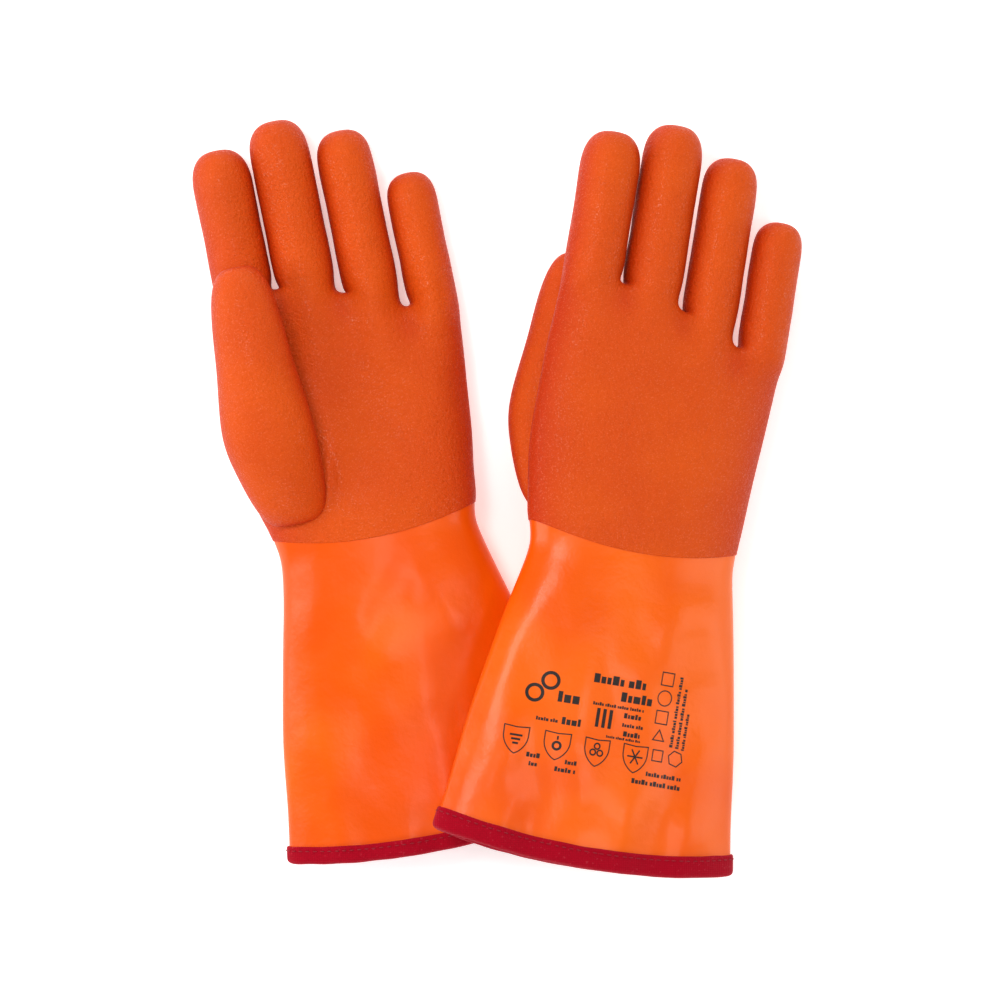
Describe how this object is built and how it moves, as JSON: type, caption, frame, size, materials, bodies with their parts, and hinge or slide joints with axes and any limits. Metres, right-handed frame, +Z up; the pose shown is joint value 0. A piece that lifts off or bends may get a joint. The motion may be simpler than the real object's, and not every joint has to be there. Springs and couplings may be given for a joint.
{
  "type": "cryogenic gloves",
  "caption": "Pair of insulated cold-handling gauntlet gloves with a textured grip coat, long smooth flared cuffs and bound hems, lying one palm up and one palm down.",
  "frame": {"origin": "middle of the pair on the table, under the centre of its bounding box", "axes": "+Y towards the fingertips, +X from the left glove to the right glove, +Z up off the table"},
  "size_m": [0.2876, 0.3594, 0.0678],
  "materials": {
    "gloss_pvc": "smooth glossy dipped PVC",
    "grip_coat": "matte sandy grip coat",
    "fleece": "looped fleece pile",
    "binding_tape": "woven bias tape",
    "seam_thread": "twisted sewing thread"
  },
  "bodies": {
    "left_cuff": {"left_cuff_skin": "gloss_pvc", "left_cuff_lining": "fleece", "left_cuff_binding": "binding_tape", "left_binding_thread": "seam_thread"},
    "left_hand": {"left_hand_skin": "grip_coat", "left_hand_lining": "fleece", "left_wrist_sleeve": "gloss_pvc", "left_index_sleeve": "grip_coat", "left_middle_sleeve": "grip_coat", "left_ring_sleeve": "grip_coat", "left_little_sleeve": "grip_coat", "left_thumb_sleeve": "grip_coat"},
    "left_index": {"left_index_skin": "grip_coat", "left_index_lining": "fleece"},
    "left_middle": {"left_middle_skin": "grip_coat", "left_middle_lining": "fleece"},
    "left_ring": {"left_ring_skin": "grip_coat", "left_ring_lining": "fleece"},
    "left_little": {"left_little_skin": "grip_coat", "left_little_lining": "fleece"},
    "left_thumb": {"left_thumb_skin": "grip_coat", "left_thumb_lining": "fleece"},
    "right_cuff": {"right_cuff_skin": "gloss_pvc", "right_cuff_lining": "fleece", "right_cuff_binding": "binding_tape", "right_binding_thread": "seam_thread"},
    "right_hand": {"right_hand_skin": "grip_coat", "right_hand_lining": "fleece", "right_wrist_sleeve": "gloss_pvc", "right_index_sleeve": "grip_coat", "right_middle_sleeve": "grip_coat", "right_ring_sleeve": "grip_coat", "right_little_sleeve": "grip_coat", "right_thumb_sleeve": "grip_coat"},
    "right_index": {"right_index_skin": "grip_coat", "right_index_lining": "fleece"},
    "right_middle": {"right_middle_skin": "grip_coat", "right_middle_lining": "fleece"},
    "right_ring": {"right_ring_skin": "grip_coat", "right_ring_lining": "fleece"},
    "right_little": {"right_little_skin": "grip_coat", "right_little_lining": "fleece"},
    "right_thumb": {"right_thumb_skin": "grip_coat", "right_thumb_lining": "fleece"}
  },
  "joints": [
    {"name": "left_wrist_bend", "type": "hinge", "parent": "left_cuff", "child": "left_hand", "pos_m": [-0.0556, -0.01438, 0.0192], "axis": [0.9799, 0.1994, 0], "range_deg": [0, 40], "deforming": ["left_wrist_sleeve"]},
    {"name": "left_index_curl", "type": "hinge", "parent": "left_hand", "child": "left_index", "pos_m": [-0.1241, 0.12169, 0.01415], "axis": [0.9799, 0.1994, 0], "range_deg": [0, 70], "stiffness_Nm_per_rad": 0.12, "deforming": ["left_index_sleeve"]},
    {"name": "left_middle_curl", "type": "hinge", "parent": "left_hand", "child": "left_middle", "pos_m": [-0.09589, 0.12948, 0.01425], "axis": [0.9799, 0.1994, 0], "range_deg": [0, 70], "stiffness_Nm_per_rad": 0.12, "deforming": ["left_middle_sleeve"]},
    {"name": "left_ring_curl", "type": "hinge", "parent": "left_hand", "child": "left_ring", "pos_m": [-0.06499, 0.12556, 0.01325], "axis": [0.9799, 0.1994, 0], "range_deg": [0, 70], "stiffness_Nm_per_rad": 0.12, "deforming": ["left_ring_sleeve"]},
    {"name": "left_little_curl", "type": "hinge", "parent": "left_hand", "child": "left_little", "pos_m": [-0.03545, 0.11728, 0.0118], "axis": [0.9799, 0.1994, 0], "range_deg": [0, 70], "stiffness_Nm_per_rad": 0.12, "deforming": ["left_little_sleeve"]},
    {"name": "left_thumb_swing", "type": "hinge", "parent": "left_hand", "child": "left_thumb", "pos_m": [-0.10814, 0.0382, 0.048], "axis": [0.5621, 0.1144, -0.8192], "range_deg": [0, 40], "stiffness_Nm_per_rad": 0.2, "deforming": ["left_thumb_sleeve"]},
    {"name": "right_glove_lift", "type": "slide", "parent": "left_cuff", "child": "right_cuff", "axis": [0, 0, 1], "range_m": [0, 0.2]},
    {"name": "right_wrist_bend", "type": "hinge", "parent": "right_cuff", "child": "right_hand", "pos_m": [0.06169, -0.02249, 0.03127], "axis": [0.9556, -0.1685, -0.2419], "range_deg": [0, 35], "deforming": ["right_wrist_sleeve"]},
    {"name": "right_index_curl", "type": "hinge", "parent": "right_hand", "child": "right_index", "pos_m": [0.04806, 0.12922, 0.03713], "axis": [-0.9556, 0.1685, 0.2419], "range_deg": [0, 70], "stiffness_Nm_per_rad": 0.12, "deforming": ["right_index_sleeve"]},
    {"name": "right_middle_curl", "type": "hinge", "parent": "right_hand", "child": "right_middle", "pos_m": [0.07626, 0.12627, 0.02985], "axis": [-0.9556, 0.1685, 0.2419], "range_deg": [0, 70], "stiffness_Nm_per_rad": 0.12, "deforming": ["right_middle_sleeve"]},
    {"name": "right_ring_curl", "type": "hinge", "parent": "right_hand", "child": "right_ring", "pos_m": [0.10311, 0.11146, 0.02427], "axis": [-0.9556, 0.1685, 0.2419], "range_deg": [0, 70], "stiffness_Nm_per_rad": 0.12, "deforming": ["right_ring_sleeve"]},
    {"name": "right_little_curl", "type": "hinge", "parent": "right_hand", "child": "right_little", "pos_m": [0.12733, 0.09309, 0.0199], "axis": [-0.9556, 0.1685, 0.2419], "range_deg": [0, 70], "stiffness_Nm_per_rad": 0.12, "deforming": ["right_little_sleeve"]},
    {"name": "right_thumb_swing", "type": "hinge", "parent": "right_hand", "child": "right_thumb", "pos_m": [0.02632, 0.04508, 0.01398], "axis": [-0.7516, 0.0817, -0.6546], "range_deg": [0, 40], "stiffness_Nm_per_rad": 0.2, "deforming": ["right_thumb_sleeve"]}
  ]
}
